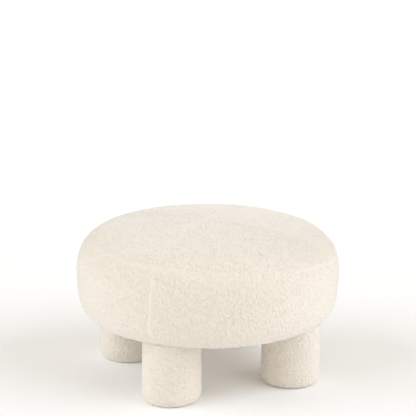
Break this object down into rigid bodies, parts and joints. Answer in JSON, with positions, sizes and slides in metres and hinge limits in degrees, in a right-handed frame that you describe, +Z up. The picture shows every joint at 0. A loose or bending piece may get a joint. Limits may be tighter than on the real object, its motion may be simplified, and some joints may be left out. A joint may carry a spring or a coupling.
{
  "type": "round upholstered stool",
  "caption": "Low round stool: a deep, softly crowned drum seat on short thick round legs, all covered in cream boucle.",
  "frame": {"origin": "on the floor, under the middle of the seat", "axes": "+Z up, -Y to the front, with a leg on each diagonal; +X to the right seen from the front"},
  "size_m": [0.6, 0.6, 0.357],
  "materials": {
    "cream_boucle": "soft matt curly pile, fine close loops with a light sheen"
  },
  "bodies": {
    "root": {"seat_top": "cream_boucle", "seat_band": "cream_boucle", "leg_front_left": "cream_boucle", "leg_front_right": "cream_boucle", "leg_back_right": "cream_boucle", "leg_back_left": "cream_boucle"}
  },
  "joints": []
}
